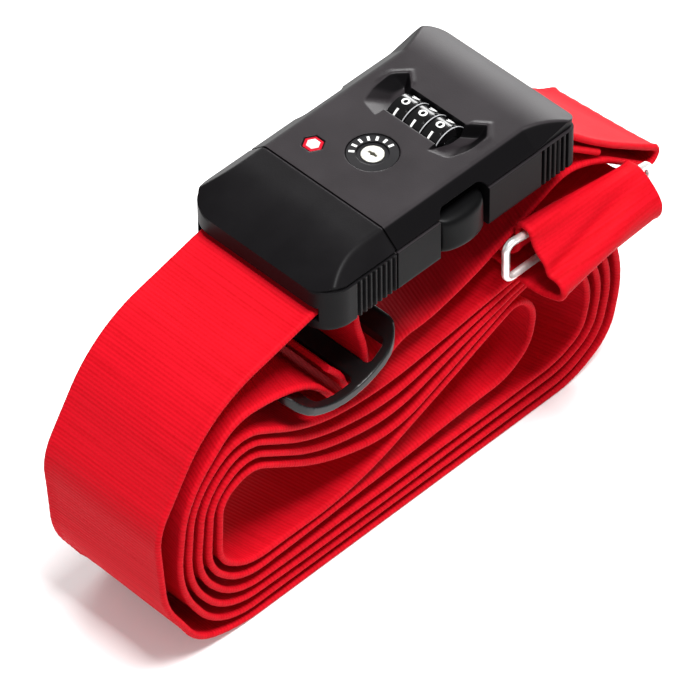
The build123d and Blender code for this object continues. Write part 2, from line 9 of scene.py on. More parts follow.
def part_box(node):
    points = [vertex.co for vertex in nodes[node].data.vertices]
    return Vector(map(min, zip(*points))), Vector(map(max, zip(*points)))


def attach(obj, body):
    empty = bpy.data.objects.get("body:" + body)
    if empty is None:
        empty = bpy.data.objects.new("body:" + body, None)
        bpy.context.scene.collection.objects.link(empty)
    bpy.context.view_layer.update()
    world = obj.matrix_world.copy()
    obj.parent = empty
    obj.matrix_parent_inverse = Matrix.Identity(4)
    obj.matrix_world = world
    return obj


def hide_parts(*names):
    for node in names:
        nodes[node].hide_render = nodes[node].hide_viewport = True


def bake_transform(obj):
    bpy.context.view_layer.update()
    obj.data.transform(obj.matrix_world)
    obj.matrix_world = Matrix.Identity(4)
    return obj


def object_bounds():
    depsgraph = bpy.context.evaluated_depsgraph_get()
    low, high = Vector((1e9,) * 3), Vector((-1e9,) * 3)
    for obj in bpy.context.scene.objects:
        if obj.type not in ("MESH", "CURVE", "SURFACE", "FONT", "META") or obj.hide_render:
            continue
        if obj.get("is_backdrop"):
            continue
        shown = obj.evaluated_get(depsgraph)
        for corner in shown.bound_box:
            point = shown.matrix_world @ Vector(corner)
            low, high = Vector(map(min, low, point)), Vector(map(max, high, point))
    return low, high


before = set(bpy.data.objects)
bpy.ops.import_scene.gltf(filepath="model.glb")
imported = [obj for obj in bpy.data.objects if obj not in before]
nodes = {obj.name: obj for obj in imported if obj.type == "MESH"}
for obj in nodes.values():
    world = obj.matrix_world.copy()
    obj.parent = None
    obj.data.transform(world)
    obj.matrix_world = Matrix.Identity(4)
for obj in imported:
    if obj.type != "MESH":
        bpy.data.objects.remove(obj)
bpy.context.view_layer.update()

# ------------------------------------------------------------------ sizes, in millimetres
MM = 0.001
WEB_WIDTH = 50.0
WEB_THICK = 1.6
SELVEDGE_THICK = 2.3
WEB_STEP = 1.1
RIB_PITCH = 1.3
YARN_PITCH = 0.62

shell_low, shell_high = (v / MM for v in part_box("housing_upper_shell"))
cap_low, cap_high = (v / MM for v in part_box("cap_upper"))
TOP = shell_high.z
BOTTOM = (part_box("housing_lower_cover")[0] / MM).z
HALF_WIDTH = shell_high.y
HOUSING_END = shell_high.x
CAP_END = cap_low.x
CHAMFER_ACROSS = 6.4
CHAMFER_DOWN = 5.8
LIP = TOP - 6.5
CAP_BEND = -7
CAP_DROP = 7.0
STRAP_BEND = 61
STRAP_DROP = 3.6
SHADOW_GAP = 0.55
GROOVE_PITCH = 2.1
LEDGE = 0.5
NOTCH_IN = 0.55
NOTCH_UP = 0.12
FOOT_ROUND = 0.8

dial_low, dial_high = (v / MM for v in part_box("dial_wheel_2"))
DIAL_X = (dial_low.x + dial_high.x) / 2
DIAL_Z = (dial_low.z + dial_high.z) / 2
DIAL_RADIUS = (dial_high.z - dial_low.z) / 2
KEY_X = sum((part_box("key_plug")[i] / MM).x for i in (0, 1)) / 2
DISH_RADIUS = (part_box("key_dish_ring")[1] / MM).y + 0.1
badge_low, badge_high = (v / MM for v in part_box("indicator_badge"))
BADGE = ((badge_low.x + badge_high.x) / 2, (badge_low.y + badge_high.y) / 2)
BUTTON_X = 29.0
BUTTON_TOP = 120.0
BUTTON_HALF = 9.7
BUTTON_BACK = 25.6
BUTTON_RIM = 26.4
BUTTON_RISE = 4.6
BUTTON_BULGE = 2.8
WINDOW_HALF = 10.5


# ------------------------------------------------------------------ small tools
def smooth_step(low, high, value):
    """0 below low, 1 above high, and a smooth ramp between them."""
    share = np.clip((value - low) / (high - low), 0, 1)
    return share * share * (3 - 2 * share)


def new_piece(name, points, faces, material, body=None, smooth=True):
    """A mesh piece from points in millimetres, riding on a CAD body."""
    mesh = bpy.data.meshes.new(name)
    mesh.from_pydata((np.asarray(points, float) * MM).tolist(), [], faces)
    mesh.update()
    piece = bpy.data.objects.new(name, mesh)
    bpy.context.scene.collection.objects.link(piece)
    mesh.materials.append(material)
    if smooth:
        mesh.shade_smooth()
    if body:
        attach(piece, body)
    return piece


def apply_modifiers(piece):
    """Replaces the piece's mesh by its evaluated one and drops its modifiers."""
    view = bpy.context.evaluated_depsgraph_get()
    mesh = bpy.data.meshes.new_from_object(piece.evaluated_get(view))
    piece.modifiers.clear()
    piece.data = mesh


def loft(rings, close_ends=True):
    """Points and faces of a tube through equal closed rings of points."""
    count = len(rings[0])
    points = np.concatenate(rings)
    faces = []
    for i in range(len(rings) - 1):
        a, b = i * count, (i + 1) * count
        faces += [(a + j, a + (j + 1) % count, b + (j + 1) % count, b + j) for j in range(count)]
    if close_ends:
        last = (len(rings) - 1) * count
        faces.append(tuple(range(count))[::-1])
        faces.append(tuple(last + j for j in range(count)))
    return points, faces


# ------------------------------------------------------------------ materials
def material(name, colour, roughness, metallic=0.0, **sockets):
    """A new node material with its constants on the shader's own sockets."""
    made = bpy.data.materials.new(name)
    made.use_nodes = True
    shader = made.node_tree.nodes["Principled BSDF"]
    shader.inputs["Base Color"].default_value = (*colour, 1)
    shader.inputs["Roughness"].default_value = roughness
    shader.inputs["Metallic"].default_value = metallic
    for socket, value in sockets.items():
        shader.inputs[socket.replace("_", " ")].default_value = value
    return made, made.node_tree, shader


def add_node(tree, kind, **settings):
    """A node with its settings and unlinked inputs filled in."""
    node = tree.nodes.new(kind)
    for key, value in settings.items():
        if key in node.bl_rna.properties:
            setattr(node, key, value)
        else:
            node.inputs[key.replace("_", " ")].default_value = value
    return node


def ramp(tree, factor, stops):
    """A colour ramp over a factor; stops are (place, (r, g, b))."""
    node = tree.nodes.new("ShaderNodeValToRGB")
    node.color_ramp.elements[0].position = stops[0][0]
    node.color_ramp.elements[0].color = (*stops[0][1], 1)
    node.color_ramp.elements[1].position = stops[-1][0]
    node.color_ramp.elements[1].color = (*stops[-1][1], 1)
    for place, colour in stops[1:-1]:
        node.color_ramp.elements.new(place).color = (*colour, 1)
    tree.links.new(factor, node.inputs["Fac"])
    return node.outputs["Color"]


def rounded_normal(tree, radius, height=None, strength=0.2, distance=0.1):
    """Normal with softened edges and, on top of it, a fine bump."""
    bevel = add_node(tree, "ShaderNodeBevel", samples=6, Radius=radius * MM)
    if height is None:
        return bevel.outputs["Normal"]
    bump = add_node(tree, "ShaderNodeBump", Strength=strength, Distance=distance * MM)
    tree.links.new(height, bump.inputs["Height"])
    tree.links.new(bevel.outputs["Normal"], bump.inputs["Normal"])
    return bump.outputs["Normal"]


def moulded(name, colour, roughness, grain=0.35, radius=0.35, side=None, gloss_level=0.12):
    """Spark-eroded moulded plastic: fine grain, slightly cloudy gloss and soft edges.

    A side colour is painted shade for the walls and chamfers: where the surface turns from facing up to
    facing sideways, the colour darkens to it and the gloss is dulled.
    """
    made, tree, shader = material(name, colour, roughness, Specular_IOR_Level=gloss_level)
    place = add_node(tree, "ShaderNodeTexCoord")
    fine = add_node(tree, "ShaderNodeTexNoise", Scale=1900.0, Detail=3.0)
    cloud = add_node(tree, "ShaderNodeTexNoise", Scale=55.0, Detail=4.0)
    tree.links.new(place.outputs["Object"], fine.inputs["Vector"])
    tree.links.new(place.outputs["Object"], cloud.inputs["Vector"])
    lighter = tuple(min(1, c * 1.28 + 0.001) for c in colour)
    shade = ramp(tree, cloud.outputs["Fac"], [(0.35, colour), (0.7, lighter)])
    if side:
        # painted shade: walls and chamfers, picked out by how far the normal turns from up, get the darker
        # side colour
        facing = add_node(tree, "ShaderNodeNewGeometry")
        upward = add_node(tree, "ShaderNodeSeparateXYZ")
        tree.links.new(facing.outputs["Normal"], upward.inputs["Vector"])
        share = add_node(tree, "ShaderNodeMapRange", interpolation_type="SMOOTHSTEP")
        share.inputs["From Min"].default_value = 0.8
        share.inputs["From Max"].default_value = 0.93
        tree.links.new(upward.outputs["Z"], share.inputs["Value"])
        blend = add_node(tree, "ShaderNodeMix", data_type="RGBA")
        blend.inputs["A"].default_value = (*side, 1)
        tree.links.new(share.outputs["Result"], blend.inputs["Factor"])
        tree.links.new(shade, blend.inputs["B"])
        shade = blend.outputs["Result"]
        dulled = add_node(tree, "ShaderNodeMapRange", To_Min=gloss_level * 0.42, To_Max=gloss_level)
        tree.links.new(share.outputs["Result"], dulled.inputs["Value"])
        tree.links.new(dulled.outputs["Result"], shader.inputs["Specular IOR Level"])
    tree.links.new(shade, shader.inputs["Base Color"])
    gloss = add_node(tree, "ShaderNodeMapRange", To_Min=roughness - 0.05, To_Max=roughness + 0.06)
    tree.links.new(cloud.outputs["Fac"], gloss.inputs["Value"])
    tree.links.new(gloss.outputs["Result"], shader.inputs["Roughness"])
    normal = rounded_normal(tree, radius, fine.outputs["Fac"], grain, 0.06)
    tree.links.new(normal, shader.inputs["Normal"])
    return made


def metal(name, colour, roughness, radius=0.15, metallic=1.0):
    """Metal with fine wear that varies its gloss."""
    made, tree, shader = material(name, colour, roughness, metallic)
    place = add_node(tree, "ShaderNodeTexCoord")
    wear = add_node(tree, "ShaderNodeTexNoise", Scale=700.0, Detail=4.0)
    tree.links.new(place.outputs["Object"], wear.inputs["Vector"])
    gloss = add_node(tree, "ShaderNodeMapRange", To_Min=roughness - 0.05, To_Max=roughness + 0.1)
    tree.links.new(wear.outputs["Fac"], gloss.inputs["Value"])
    tree.links.new(gloss.outputs["Result"], shader.inputs["Roughness"])
    darker = tuple(c * 0.8 for c in colour)
    shade = ramp(tree, wear.outputs["Fac"], [(0.3, darker), (0.6, colour)])
    tree.links.new(shade, shader.inputs["Base Color"])
    tree.links.new(rounded_normal(tree, radius), shader.inputs["Normal"])
    return made


def woven(name, colour, dark, strength):
    """Ribbed polyester webbing. The map's U runs along the strap and V across it, in millimetres."""
    made, tree, shader = material(name, colour, 0.65, Specular_IOR_Level=0.05)
    uv = add_node(tree, "ShaderNodeUVMap", uv_map="weave")
    split = add_node(tree, "ShaderNodeSeparateXYZ")
    tree.links.new(uv.outputs["UV"], split.inputs["Vector"])

    def mix(a, b, operation="MULTIPLY"):
        """A maths node over an output and a number or a second output."""
        node = add_node(tree, "ShaderNodeMath", operation=operation)
        tree.links.new(a, node.inputs[0])
        if isinstance(b, (int, float)):
            node.inputs[1].default_value = b
        else:
            tree.links.new(b, node.inputs[1])
        return node.outputs[0]

    def wave(source, pitch):
        """A wave between 0 and 1 along a coordinate."""
        sine = mix(mix(source, 2 * math.pi / pitch), 0.0, "SINE")
        lifted = add_node(tree, "ShaderNodeMath", operation="MULTIPLY_ADD")
        lifted.inputs[1].default_value = 0.5
        lifted.inputs[2].default_value = 0.5
        tree.links.new(sine, lifted.inputs[0])
        return lifted.outputs[0]

    ribs = wave(split.outputs["X"], RIB_PITCH)
    yarns = wave(split.outputs["Y"], YARN_PITCH)
    edge = add_node(tree, "ShaderNodeMapRange", interpolation_type="SMOOTHSTEP")
    edge.inputs["From Min"].default_value = 22.6
    edge.inputs["From Max"].default_value = 23.6
    tree.links.new(mix(split.outputs["Y"], 0.0, "ABSOLUTE"), edge.inputs["Value"])
    blend = add_node(tree, "ShaderNodeMix")
    tree.links.new(edge.outputs["Result"], blend.inputs["Factor"])
    tree.links.new(mix(ribs, mix(mix(yarns, 0.3), 0.7, "ADD")), blend.inputs["A"])
    tree.links.new(ribs, blend.inputs["B"])
    weave = blend.outputs["Result"]

    fibre = add_node(tree, "ShaderNodeTexNoise", Scale=0.9, Detail=5.0, Roughness=0.6)
    tree.links.new(uv.outputs["UV"], fibre.inputs["Vector"])
    streak_map = add_node(tree, "ShaderNodeMapping", Scale=(1.6, 0.05, 1))
    tree.links.new(uv.outputs["UV"], streak_map.inputs["Vector"])
    streak = add_node(tree, "ShaderNodeTexNoise", Scale=0.5, Detail=3.0)
    tree.links.new(streak_map.outputs["Vector"], streak.inputs["Vector"])
    cloudy = mix(mix(fibre.outputs["Fac"], 0.35), mix(streak.outputs["Fac"], 0.55), "ADD")
    # partly painted shade and highlight: the grooves between ribs and yarns are painted darker and their
    # crests lighter; the fibre and streak noise adds random tone
    shade = mix(mix(weave, 0.7 * strength), cloudy, "ADD")
    lighter = tuple(min(1, c * 1.15) for c in colour)
    colour_of = ramp(tree, shade, [(0.25, dark), (0.6, colour), (0.9, lighter)])
    tree.links.new(colour_of, shader.inputs["Base Color"])
    height = mix(weave, mix(fibre.outputs["Fac"], 0.5), "ADD")
    bump = add_node(tree, "ShaderNodeBump", Strength=strength, Distance=0.2 * MM)
    tree.links.new(height, bump.inputs["Height"])
    tree.links.new(bump.outputs["Normal"], shader.inputs["Normal"])
    return made


RED = (0.5, 0.0032, 0.011)
DARK_RED = (0.37, 0.0008, 0.004)
webbing_red = woven("webbing_red", RED, DARK_RED, 0.32)
webbing_worn = woven("webbing_worn", RED, DARK_RED, 0.1)
# the housing's side colour is painted shade on its walls and chamfers, darker than its top
housing_black = moulded("housing_black", (0.0155, 0.013, 0.0145), 0.4, side=(0.003, 0.0027, 0.0031))
cap_black = moulded("cap_black", (0.0035, 0.0031, 0.0036), 0.42, gloss_level=0.07)
button_black = moulded("button_black", (0.002, 0.002, 0.0022), 0.34, gloss_level=0.06)
adjuster_black = moulded("adjuster_black", (0.004, 0.004, 0.0042), 0.32, gloss_level=0.3)
inner_black = moulded("inner_black", (0.004, 0.004, 0.0044), 0.6)
dial_black = moulded("dial_black", (0.002, 0.002, 0.0022), 0.16, grain=0.03, radius=0.08, gloss_level=0.25)
# pale grey for the dials' rim beads: a painted highlight for the glint along each dial's rim
rim_highlight_grey = moulded("rim_highlight_grey", (0.3, 0.3, 0.31), 0.3, grain=0.05, radius=0.03, gloss_level=0.4)
dish_black = moulded("dish_black", (0.012, 0.0115, 0.0125), 0.34, grain=0.1)
digit_white = moulded("digit_white", (0.62, 0.62, 0.61), 0.45, grain=0.1, radius=0.03)
badge_red = moulded("badge_red", (0.36, 0.004, 0.014), 0.28, grain=0.1)
badge_pale = moulded("badge_pale", (0.6, 0.5, 0.5), 0.35, grain=0.1)
steel = metal("steel", (0.5, 0.5, 0.51), 0.3)
spring_steel = metal("spring_steel", (0.4, 0.4, 0.42), 0.28)
plug_metal = metal("plug_metal", (0.82, 0.8, 0.72), 0.42, radius=0.2)
nickel = metal("nickel", (0.92, 0.91, 0.89), 0.3, metallic=0.7)

# materials of the CAD pieces that keep their shapes
CAD_LOOKS = (
    (steel, "housing_screws cap_screws housing_strap_bar cap_strap_bar dial_shaft key_cam lock_bar"),
    (spring_steel, "dial_click_spring reset_spring button_spring_near button_spring_far"),
    (inner_black, "lock_frame dial_sleeve_1 dial_sleeve_2 dial_sleeve_3"),
    (dial_black, "dial_wheel_1 dial_wheel_2 dial_wheel_3"),
    (dish_black, "lock_cylinder key_dish_ring"),
    (plug_metal, "key_plug"), (badge_red, "indicator_badge"), (button_black, "reset_button"),
    (cap_black, "latch_tongue"), (nickel, "metal_ring"),
)
for look, node_names in CAD_LOOKS:
    for node_name in node_names.split():
        mesh = nodes[node_name].data
        mesh.materials.clear()
        mesh.materials.append(look)
        mesh.shade_smooth()
        mesh.set_sharp_from_angle(angle=math.radians(32))


# ------------------------------------------------------------------ webbing
END_FADE = 14.0


def rounded_path(route):
    """Points along a strap's route: straight runs joined by tangent arcs, as in the CAD."""
    corners = [np.array(c[:2], float) for c in route]
    points = [corners[0]]
    for i in range(1, len(corners) - 1):
        a, b, c = corners[i - 1 : i + 2]
        run_in, run_out = np.linalg.norm(b - a), np.linalg.norm(c - b)
        u, v = (b - a) / run_in, (c - b) / run_out
        turn = math.atan2(u[0] * v[1] - u[1] * v[0], u @ v)
        stated = route[i][2] if len(route[i]) == 3 else None
        radius = stated or 0.45 * min(run_in, run_out) / math.tan(abs(turn) / 2)
        reach = radius * math.tan(abs(turn) / 2)
        start = b - u * reach
        steps = max(4, int(abs(turn) * radius / 0.5))
        side = np.array([-u[1], u[0]]) * math.copysign(1, turn)
        centre = start + side * radius
        spoke = start - centre
        for k in range(steps + 1):
            sine, cosine = math.sin(turn * k / steps), math.cos(turn * k / steps)
            turned = [spoke[0] * cosine - spoke[1] * sine, spoke[0] * sine + spoke[1] * cosine]
            points.append(centre + np.array(turned))
    points.append(corners[-1])
    return np.array(points)


def spaced(path, step, count=None):
    """The path again with points an even step apart, and how far along each one is."""
    reach = np.concatenate([[0], np.cumsum(np.linalg.norm(np.diff(path, axis=0), axis=1))])
    count = count or max(2, int(reach[-1] / step)) + 1
    even = np.linspace(0, reach[-1], count)
    return np.stack([np.interp(even, reach, path[:, k]) for k in (0, 1)], axis=1), even


def mixed_route(route, far_route, share):
    """The route a given share of the way from one to the other; stated radii are kept."""
    pairs = zip(route, far_route)
    return [(a[0] + share * (b[0] - a[0]), a[1] + share * (b[1] - a[1]), *a[2:]) for a, b in pairs]


def web_section():
    """Cross-section of the webbing: offsets across it and through it, round the edge once."""
    bead = SELVEDGE_THICK / 2
    bead_middle = WEB_WIDTH / 2 - bead
    angles = [math.radians(a) for a in np.linspace(-100, 100, 9)]
    rim = [(bead_middle + bead * math.cos(a), bead * math.sin(a)) for a in angles]
    flat = np.array([22.2, 19, 14, 8, 3, -3, -8, -14, -19, -22.2])
    top = [(y, WEB_THICK / 2) for y in flat]
    left = [(-y, -z) for y, z in rim]
    under = [(-y, -z) for y, z in top]
    return np.array(rim + top + left + under)


def web_frames(route, far_route, shares):
    """Path and normal for each share across a band, by step along it, and how far along each step is."""
    reach = spaced(rounded_path(route), WEB_STEP)[1]
    paths, normals = [], []
    for share in shares:
        path = spaced(rounded_path(mixed_route(route, far_route, share)), WEB_STEP, len(reach))[0]
        ahead = np.gradient(path, axis=0)
        ahead /= np.linalg.norm(ahead, axis=1)[:, None]
        paths.append(path)
        normals.append(np.stack([-ahead[:, 1], ahead[:, 0]], axis=1))
    return np.stack(paths, axis=1), np.stack(normals, axis=1), reach


def web_piece(
    name, route, body=None, plane="xz", centre=0.0, ripple=0.22,
    far_route=None, start=0.0, look=webbing_red, fold=None,
):
    """A closed band of webbing along a route drawn in one plane.

    With a second route, one edge follows the first and the other edge the second. A fold gives the
    distance to push the band inwards from the places along and across it.
    """
    section = web_section()
    across, through = section[:, 0], section[:, 1]
    path, normal, reach = web_frames(route, far_route or route, across / WEB_WIDTH + 0.5)
    # long and short waves, by the place along (s) and across (v)
    s, v = reach[:, None], across[None, :]
    wobble = ripple * (np.sin(s / 17.0 + v / 13.0) * 0.6 + np.sin(s / 7.3 - v / 9.0 + 1.7) * 0.4)
    if fold:
        wobble = wobble + fold(s, v)
    # the waves die out towards both ends and near the floor
    ends = smooth_step(0, END_FADE, s) * smooth_step(0, END_FADE, reach[-1] - s)
    fade = ends * smooth_step(0.9, 9, path[:, :, 1])
    selvedge = smooth_step(22.4, 23.4, np.abs(across))[None, :]
    beading = 1 + 0.05 * np.sin(s * 2 * math.pi / 3.3) * selvedge
    lift = through[None, :] * beading + wobble * fade
    sway = v + 0.25 * np.sin(s / 31.0 + 0.6) * fade
    rings = []
    for i in range(len(path)):
        in_plane = path[i] + normal[i] * lift[i][:, None]
        if plane == "xz":
            above_floor = np.maximum(in_plane[:, 1], 0)
            rings.append(np.stack([in_plane[:, 0], sway[i] + centre, above_floor], axis=1))
        else:
            rings.append(np.stack([sway[i] + centre, in_plane[:, 0], in_plane[:, 1]], axis=1))
    points, faces = loft(rings)
    if plane == "yz":
        faces = [face[::-1] for face in faces]
    piece = new_piece(name, points, faces, look, body)
    piece.data.set_sharp_from_angle(angle=math.radians(70))
    uv = piece.data.uv_layers.new(name="weave")
    index = np.zeros(len(piece.data.loops), int)
    piece.data.loops.foreach_get("vertex_index", index)
    along, side = start + reach[index // len(section)], across[index % len(section)]
    uv.data.foreach_set("uv", np.stack([along, side], axis=1).ravel())
    return piece, reach[-1]


def between(outer, inner, share):
    """Points a given share of the way from the outer list to the inner one."""
    return [tuple(np.array(a) + share * (np.array(b) - np.array(a))) for a, b in zip(outer, inner)]


# corners of the coil's outermost and innermost turns, drawn in the XZ plane
left_outer = [(-62, 90.5), (-83, 70), (-87, 34), (-70, 5.2)]
left_inner = [(-55, 65.5), (-68, 60), (-69.5, 34), (-57, 24.5)]
right_outer = [(82, 67.2), (101, 58), (107.5, 34), (102, 10), (86, 0.8)]
right_inner = [(74, 59.5), (87, 51), (93.5, 36), (90, 20), (78, 14.4)]
crossing_outer = [(-30, 64.5), (0, 59.6), (60, 65.6)]
crossing_inner = [(-24, 44.5), (5, 36.5), (60, 58.3)]


def left_turn(lap):
    """Corners of a lap's left end; laps 2 to 6 run from the outside in."""
    return between(left_outer, left_inner, (lap - 2) / 4)


def right_turn(lap):
    """Corners of a lap's right end; laps 1 to 4 run from the outside in."""
    return between(right_outer, right_inner, (lap - 1) / 3)


def crossing(lap):
    """Corners of a lap's run through the coil's middle; laps 1 to 4 run from the top down."""
    return between(crossing_outer, crossing_inner, (lap - 1) / 3)


tab_fold = [
    (95.5, 93.6), (76, 108.6), (67.6, 109.2, 2.6), (67.6, 115.0, 2.6), (77, 114.6), (95.5, 96.7),
    (120.5, 78.8), (125, 73.5), (120, 69.8), (96, 90.4), (80, 96.8), (60, 87.4), (39, 79.2),
    (20, 74.6), (8, 74.7), (-5, 65.3), (-17, 65.4), (-29, 82.4), (-44, 88.6),
]
inner_fold = [(-12, 25), (61, 54.3), (68.5, 45), (66, 31), (55, 23.8), (8, 22.5)]
outer_bottom = [(-62, 0.8), (-79, 7), (-92.5, 31)]
web_joint = (-93.5, 47.5)

coil_route = tab_fold + left_turn(2) + right_turn(2)[::-1] + crossing(2)[::-1]
coil_route += left_turn(4) + right_turn(4)[::-1] + crossing(4)[::-1]
coil_route += left_turn(6) + inner_fold
coil_route += left_turn(5)[::-1] + crossing(3) + right_turn(3)
coil_route += left_turn(3)[::-1] + crossing(1) + right_turn(1)
coil_route += outer_bottom + [web_joint]
# the folded flap is twisted: its far edge hangs lower and reaches further out
far_flap = {
    (95.5, 93.6): (95.0, 91.9), (95.5, 96.7): (99.5, 89.8), (120.5, 78.8): (118.5, 71.4),
    (125, 73.5): (128.5, 66.5), (120, 69.8): (122.5, 62.0), (96, 90.4): (98.0, 87.5),
}
near_flap = {(120.5, 78.8): (118.5, 80.5), (125, 73.5): (123.5, 77.0), (120, 69.8): (119.5, 71.5)}
near_route = [near_flap.get(corner, corner) for corner in coil_route]
far_route = [far_flap.get(corner, corner) for corner in coil_route]
coil, coil_length = web_piece("webbing_coil", near_route, "housing", far_route=far_route)
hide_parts("strap_webbing_coil")

lead_route = [
    (-93.503, 47.55), (-94.5, 64), (-72, 100), (-26, 112.3), (-10.9, 112.5, 3.1), (-10.9, 96),
    (-6.9, 82), (-6.9, 70.7, 1.4), (-15.1, 70.7, 1.4), (-17, 77), (-23, 84.5),
]
lead, lead_length = web_piece("webbing_lead", lead_route, ripple=0.1, start=coil_length)
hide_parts("strap_webbing_lead")
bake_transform(lead)

keeper_box = [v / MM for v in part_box("keeper_loop")]
keeper_centre = (keeper_box[0].x + keeper_box[1].x) / 2
# the keeper bulges higher over the ring on its left edge than on its right one
keeper_left = [
    (0, 70.4), (27.6, 70.4, 2.7), (27.6, 76.4, 2.7), (-22, 76.4), (-26.8, 80), (-27.2, 91.6, 1.7),
    (-31.7, 91.6, 1.7), (-34.3, 85.5), (-39.5, 81.8), (-45, 77.5), (-44, 72), (-38, 69), (-30, 68.6),
    (-24, 70.4), (-0.02, 70.4),
]
keeper_right = [
    (0, 70.4), (27.6, 70.4), (27.6, 76.4), (-21, 76.8), (-26.4, 79.5), (-27.3, 84.9), (-32, 85.2),
    (-35.5, 83.5), (-39, 80.5), (-41.8, 76.5), (-41, 71.5), (-37, 68.6), (-30, 68.6),
    (-24, 70.4), (-0.02, 70.4),
]


def keeper_crease(s, across):
    """A crease that runs up the keeper's near face, with a soft roll below it."""
    middle = 112 - 0.2 * across
    dip = 2.0 * np.exp(-(((s - middle) / 2.4) ** 2))
    roll = 1.8 * np.exp(-(((s - middle - 7) / 3.6) ** 2))
    return (dip - roll) * smooth_step(22, 2, across)


keeper, keeper_length = web_piece(
    "webbing_keeper", keeper_left, "housing", "yz", keeper_centre, 0.5,
    far_route=keeper_right, look=webbing_worn, fold=keeper_crease,
)
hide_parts("keeper_loop")


# ------------------------------------------------------------------ buckle shells
def roof(x):
    """Height of the buckle's top along its middle."""
    cap_end = CAP_DROP * np.clip((CAP_BEND - x) / (CAP_BEND - CAP_END), 0, 1) ** 2.4
    strap_end = STRAP_DROP * np.clip((x - STRAP_BEND) / (HOUSING_END - STRAP_BEND), 0, 1) ** 2
    return TOP - cap_end - strap_end


def soft_low(a, b, blend=0.8):
    """The lower of two heights, rounded where they cross."""
    share = np.clip(0.5 + (b - a) / (2 * blend), 0, 1)
    return b + (a - b) * share - blend * share * (1 - share)


def surface(x, y):
    """Height of the plain outer surface over any point of the buckle."""
    # the chamfers get narrower towards the strap end
    edge = HALF_WIDTH - CHAMFER_ACROSS + 0.24 * np.clip(x - 60, 0, None)
    slope = CHAMFER_DOWN / CHAMFER_ACROSS
    return soft_low(roof(x), TOP - slope * (np.abs(y) - edge))


SCOOP_DEPTH = 3.9
SCOOP_LIP = 0.42
WELL_DEPTH = 7.4
DISH_DEPTH = 0.95
BORE_DEPTH = 6
RECESS_DEPTH = 0.7
# the sides of a finger scoop, from the window's strap-end corner round to its other corner: both ends
# of each side and how steeply it falls, with X from the dials' middle and Y outwards
SCOOP_SIDES = [
    ((5.6, 11.0), (10.2, 16.6), 2.6), ((10.2, 16.6), (6.4, 20.0), 1.6), ((6.4, 20.0), (-1.0, 20.4), 0.9),
    ((-1.0, 20.4), (-8.2, 18.0), 0.6), ((-8.2, 18.0), (-10.0, 11.0), 0.42),
]


def scoop(x, y):
    """Distance inside a finger scoop's outline, and the scoop's depth."""
    inside = np.full_like(x, 20.0)
    depth = np.full_like(x, SCOOP_DEPTH)
    for (ax, ay), (bx, by), steep in SCOOP_SIDES:
        length = math.hypot(bx - ax, by - ay)
        away = ((bx - ax) * (y - ay) - (by - ay) * (x - ax)) / length
        inside = soft_low(inside, away, 0.8)
        depth = soft_low(depth, away * steep, 0.7)
    return inside, np.clip(depth, 0, None) * smooth_step(10.9, 11.3, y)


def housing_dents(x, y):
    """Depth of the finger scoops, dial well, key dish and badge recess below the plain surface."""
    depth, raised = np.zeros_like(x), np.zeros_like(x)
    for side in (-1, 1):
        inside, bowl = scoop(x - DIAL_X, side * y)
        lip = SCOOP_LIP * np.exp(-(((inside + 0.8) / 0.9) ** 2)) * smooth_step(0, 5, x - DIAL_X)
        raised += lip * smooth_step(11.6, 12.8, side * y)
        depth = np.maximum(depth, bowl)
    well = smooth_step(6.15, 5.75, np.abs(x - DIAL_X)) * smooth_step(11.45, 11.1, np.abs(y))
    from_key = np.hypot(x - KEY_X, y)
    dish = smooth_step(DISH_RADIUS + 0.15, DISH_RADIUS - 0.2, from_key)
    bore = smooth_step(5.25, 4.95, from_key)
    spokes = [(math.cos(a), math.sin(a)) for a in (0, math.pi / 3, 2 * math.pi / 3)]
    hexagon = np.max([np.abs((x - BADGE[0]) * u + (y - BADGE[1]) * v) for u, v in spokes], axis=0)
    recess = smooth_step(3.3, 3.0, hexagon)
    for share, deep in ((well, WELL_DEPTH), (dish, DISH_DEPTH), (bore, BORE_DEPTH), (recess, RECESS_DEPTH)):
        depth = np.maximum(depth, deep * share)
    return depth - raised


def no_dents(x, y):
    """A plain surface."""
    return np.zeros_like(x)


def grooves(x, z, first, last, depth):
    """Depth of a row of upright grip grooves in a side wall, which end below the chamfer."""
    wave = np.cos((x - first) / GROOVE_PITCH * 2 * math.pi)
    inside = (x > first - GROOVE_PITCH / 2) & (x < last + GROOVE_PITCH / 2)
    return depth * smooth_step(-0.15, 0.45, wave) * inside * smooth_step(LIP - 0.2, LIP - 0.9, z)


